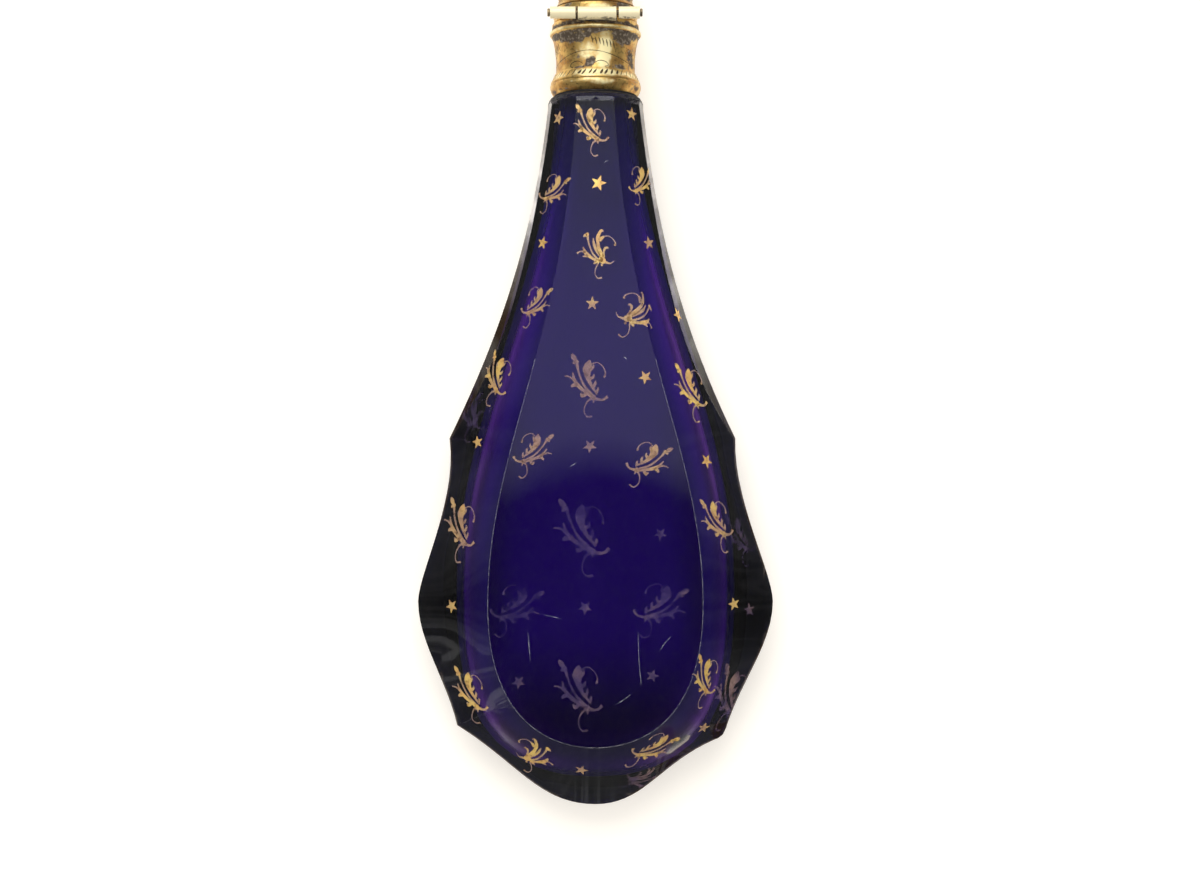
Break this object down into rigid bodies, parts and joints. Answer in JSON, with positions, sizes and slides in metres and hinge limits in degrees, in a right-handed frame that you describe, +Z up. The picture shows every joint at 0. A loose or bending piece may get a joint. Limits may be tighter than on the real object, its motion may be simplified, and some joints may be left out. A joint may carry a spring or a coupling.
{
  "type": "smelling salts bottle",
  "caption": "Flattened drop-shaped cut glass bottle with a scalloped foot, a waisted gilt collar, a hinged domed cap and a ground inner stopper.",
  "frame": {"origin": "middle of the bounding box at the level of the back panel that the bottle rests on", "axes": "+X to the right, +Y along the bottle towards the cap, +Z up through the flat front panel, on the hinge's side"},
  "size_m": [0.0462, 0.1156, 0.0142],
  "materials": {
    "cobalt_glass": "cut and polished",
    "stopper_glass": "ground plug, polished head",
    "plaster": "matt",
    "gilt_collar": "worn gilding with dark tarnish",
    "gilt_hinge": "worn gilding",
    "gilt_cap": "worn gilding with dark tarnish",
    "gilt_lining": "bright spun gilding",
    "hinge_pin": "tarnished"
  },
  "bodies": {
    "bottle": {"glass_bottle": "cobalt_glass", "neck_cement": "plaster", "collar_sleeve": "gilt_collar", "collar_foot_band": "gilt_collar", "collar_top_rim": "gilt_collar", "collar_bezel": "gilt_collar", "collar_knuckle": "gilt_hinge"},
    "cap": {"cap_rim": "gilt_cap", "cap_shell": "gilt_cap", "cap_liner": "gilt_lining", "cap_finial": "gilt_cap", "thumbpiece": "gilt_cap", "cap_knuckle_left": "gilt_hinge", "cap_knuckle_right": "gilt_hinge", "hinge_pin": "hinge_pin"},
    "stopper": {"stopper": "stopper_glass"}
  },
  "joints": [
    {"name": "cap_hinge", "type": "hinge", "parent": "bottle", "child": "cap", "pos_m": [0, 0.04342, 0.0134], "axis": [1, 0, 0], "range_deg": [0, 120]},
    {"name": "stopper_lift", "type": "slide", "parent": "bottle", "child": "stopper", "axis": [0, 1, 0], "range_m": [0, 0.0121]}
  ],
  "couplings": [
    {"joint": "stopper_lift", "follows": "cap_hinge", "m_per_rad": 0.0057296}
  ]
}
